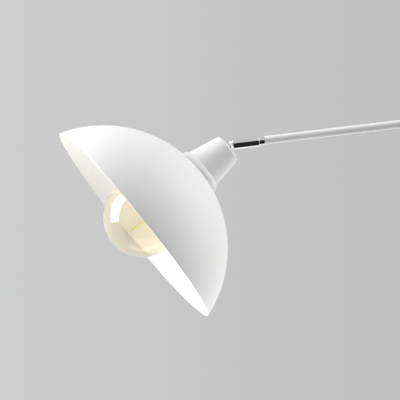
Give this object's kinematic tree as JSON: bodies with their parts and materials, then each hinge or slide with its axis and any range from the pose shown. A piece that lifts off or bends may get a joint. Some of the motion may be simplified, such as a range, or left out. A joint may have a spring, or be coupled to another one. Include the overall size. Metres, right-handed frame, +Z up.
{
  "type": "arc floor lamp",
  "caption": "Arc floor lamp: weighted round base, telescoping upright, bent tube with a thin arm, and a domed metal shade on a chrome ball joint over a clear tinted globe bulb.",
  "frame": {"origin": "centre of the base's underside, on the floor pad", "axes": "+Z up the upright, X along the bow's plane with the head on the -X side, Y across it"},
  "size_m": [1.3918, 0.32, 1.798],
  "materials": {
    "white_paint": "matte",
    "chrome": "polished",
    "zinc_steel": "satin",
    "cast_iron": "matte",
    "pad_rubber": "matte",
    "white_plastic": "satin",
    "holder_plastic": "satin",
    "brass": "satin",
    "bulb_cap_metal": "satin",
    "tinted_glass": "polished",
    "clear_glass": "polished",
    "black_insulator": "satin",
    "wire_metal": "satin",
    "filament": "matte",
    "lead_sheath": "matte"
  },
  "bodies": {
    "base": {"floor_pad": "pad_rubber", "bottom_plate": "zinc_steel", "bottom_plate_screws": "zinc_steel", "base_weight": "cast_iron", "base_cover": "white_paint", "lead_inlet": "white_plastic", "terminal_block": "holder_plastic", "terminal_screws": "brass", "post_bolt": "zinc_steel", "post_washer": "zinc_steel", "post_plug": "zinc_steel", "post_trim_ring": "white_paint", "post_tube": "white_paint", "post_bush": "white_plastic", "clamp_collar": "white_paint", "post_lead": "lead_sheath", "lead_coil": "lead_sheath"},
    "clamp_tip": {"clamp_pad": "white_plastic"},
    "clamp_thumbscrew": {"clamp_screw": "zinc_steel", "clamp_knob": "white_plastic"},
    "riser": {"riser_tube": "white_paint", "riser_foot_bush": "white_plastic", "swivel_bush_top": "white_plastic", "swivel_bush_low": "white_plastic"},
    "bow": {"bow_tube": "white_paint", "bow_ring": "white_paint", "bow_ring_screw": "zinc_steel", "bow_clip": "zinc_steel", "bow_lead": "lead_sheath", "arm_reducer": "white_paint", "arm_tube": "white_paint", "arm_ferrule": "chrome"},
    "barrel": {"joint_barrel": "chrome", "ball_seat": "white_plastic", "disc_springs": "zinc_steel", "spring_spacer": "zinc_steel"},
    "ball": {"ball_stud": "chrome"},
    "head": {"stud_nut": "zinc_steel", "stud_washer": "zinc_steel", "bell_collar": "white_paint", "shade": "white_paint", "holder_body": "holder_plastic", "holder_cap": "holder_plastic", "shade_ring": "holder_plastic", "thread_shell": "brass", "holder_contact": "brass", "head_lead": "lead_sheath", "bulb_glass": "tinted_glass", "bulb_cap": "bulb_cap_metal", "bulb_insulator": "black_insulator", "bulb_tip": "brass", "bulb_stem": "clear_glass", "filament_wires": "wire_metal", "bulb_filament": "filament"}
  },
  "joints": [
    {"name": "height", "type": "slide", "parent": "base", "child": "riser", "axis": [0, 0, 1], "range_m": [-0.28, 0.2], "deforming": ["lead_coil"]},
    {"name": "clamp_travel", "type": "slide", "parent": "base", "child": "clamp_tip", "axis": [1, 0, 0], "range_m": [0, 0.0015]},
    {"name": "clamp_turn", "type": "hinge", "parent": "clamp_tip", "child": "clamp_thumbscrew", "pos_m": [0, 0, 0.837], "axis": [1, 0, 0], "range_deg": [0, 540]},
    {"name": "bow_swivel", "type": "hinge", "parent": "riser", "child": "bow", "pos_m": [0, 0, 1.18], "axis": [0, 0, 1], "range_deg": [-170, 170]},
    {"name": "head_swivel", "type": "hinge", "parent": "bow", "child": "barrel", "pos_m": [-1.02009, 0, 1.7325], "axis": [0.9925, 0, 0.1219], "range_deg": [-170, 170]},
    {"name": "head_tilt", "type": "hinge", "parent": "barrel", "child": "ball", "pos_m": [-1.02009, 0, 1.7325], "axis": [0, 1, 0], "range_deg": [-10, 73]},
    {"name": "head_spin", "type": "hinge", "parent": "ball", "child": "head", "pos_m": [-1.02009, 0, 1.7325], "axis": [0.7793, 0, 0.6266], "range_deg": [-170, 170]}
  ],
  "couplings": [
    {"joint": "clamp_travel", "follows": "clamp_turn", "m_per_rad": 0.00015915}
  ]
}
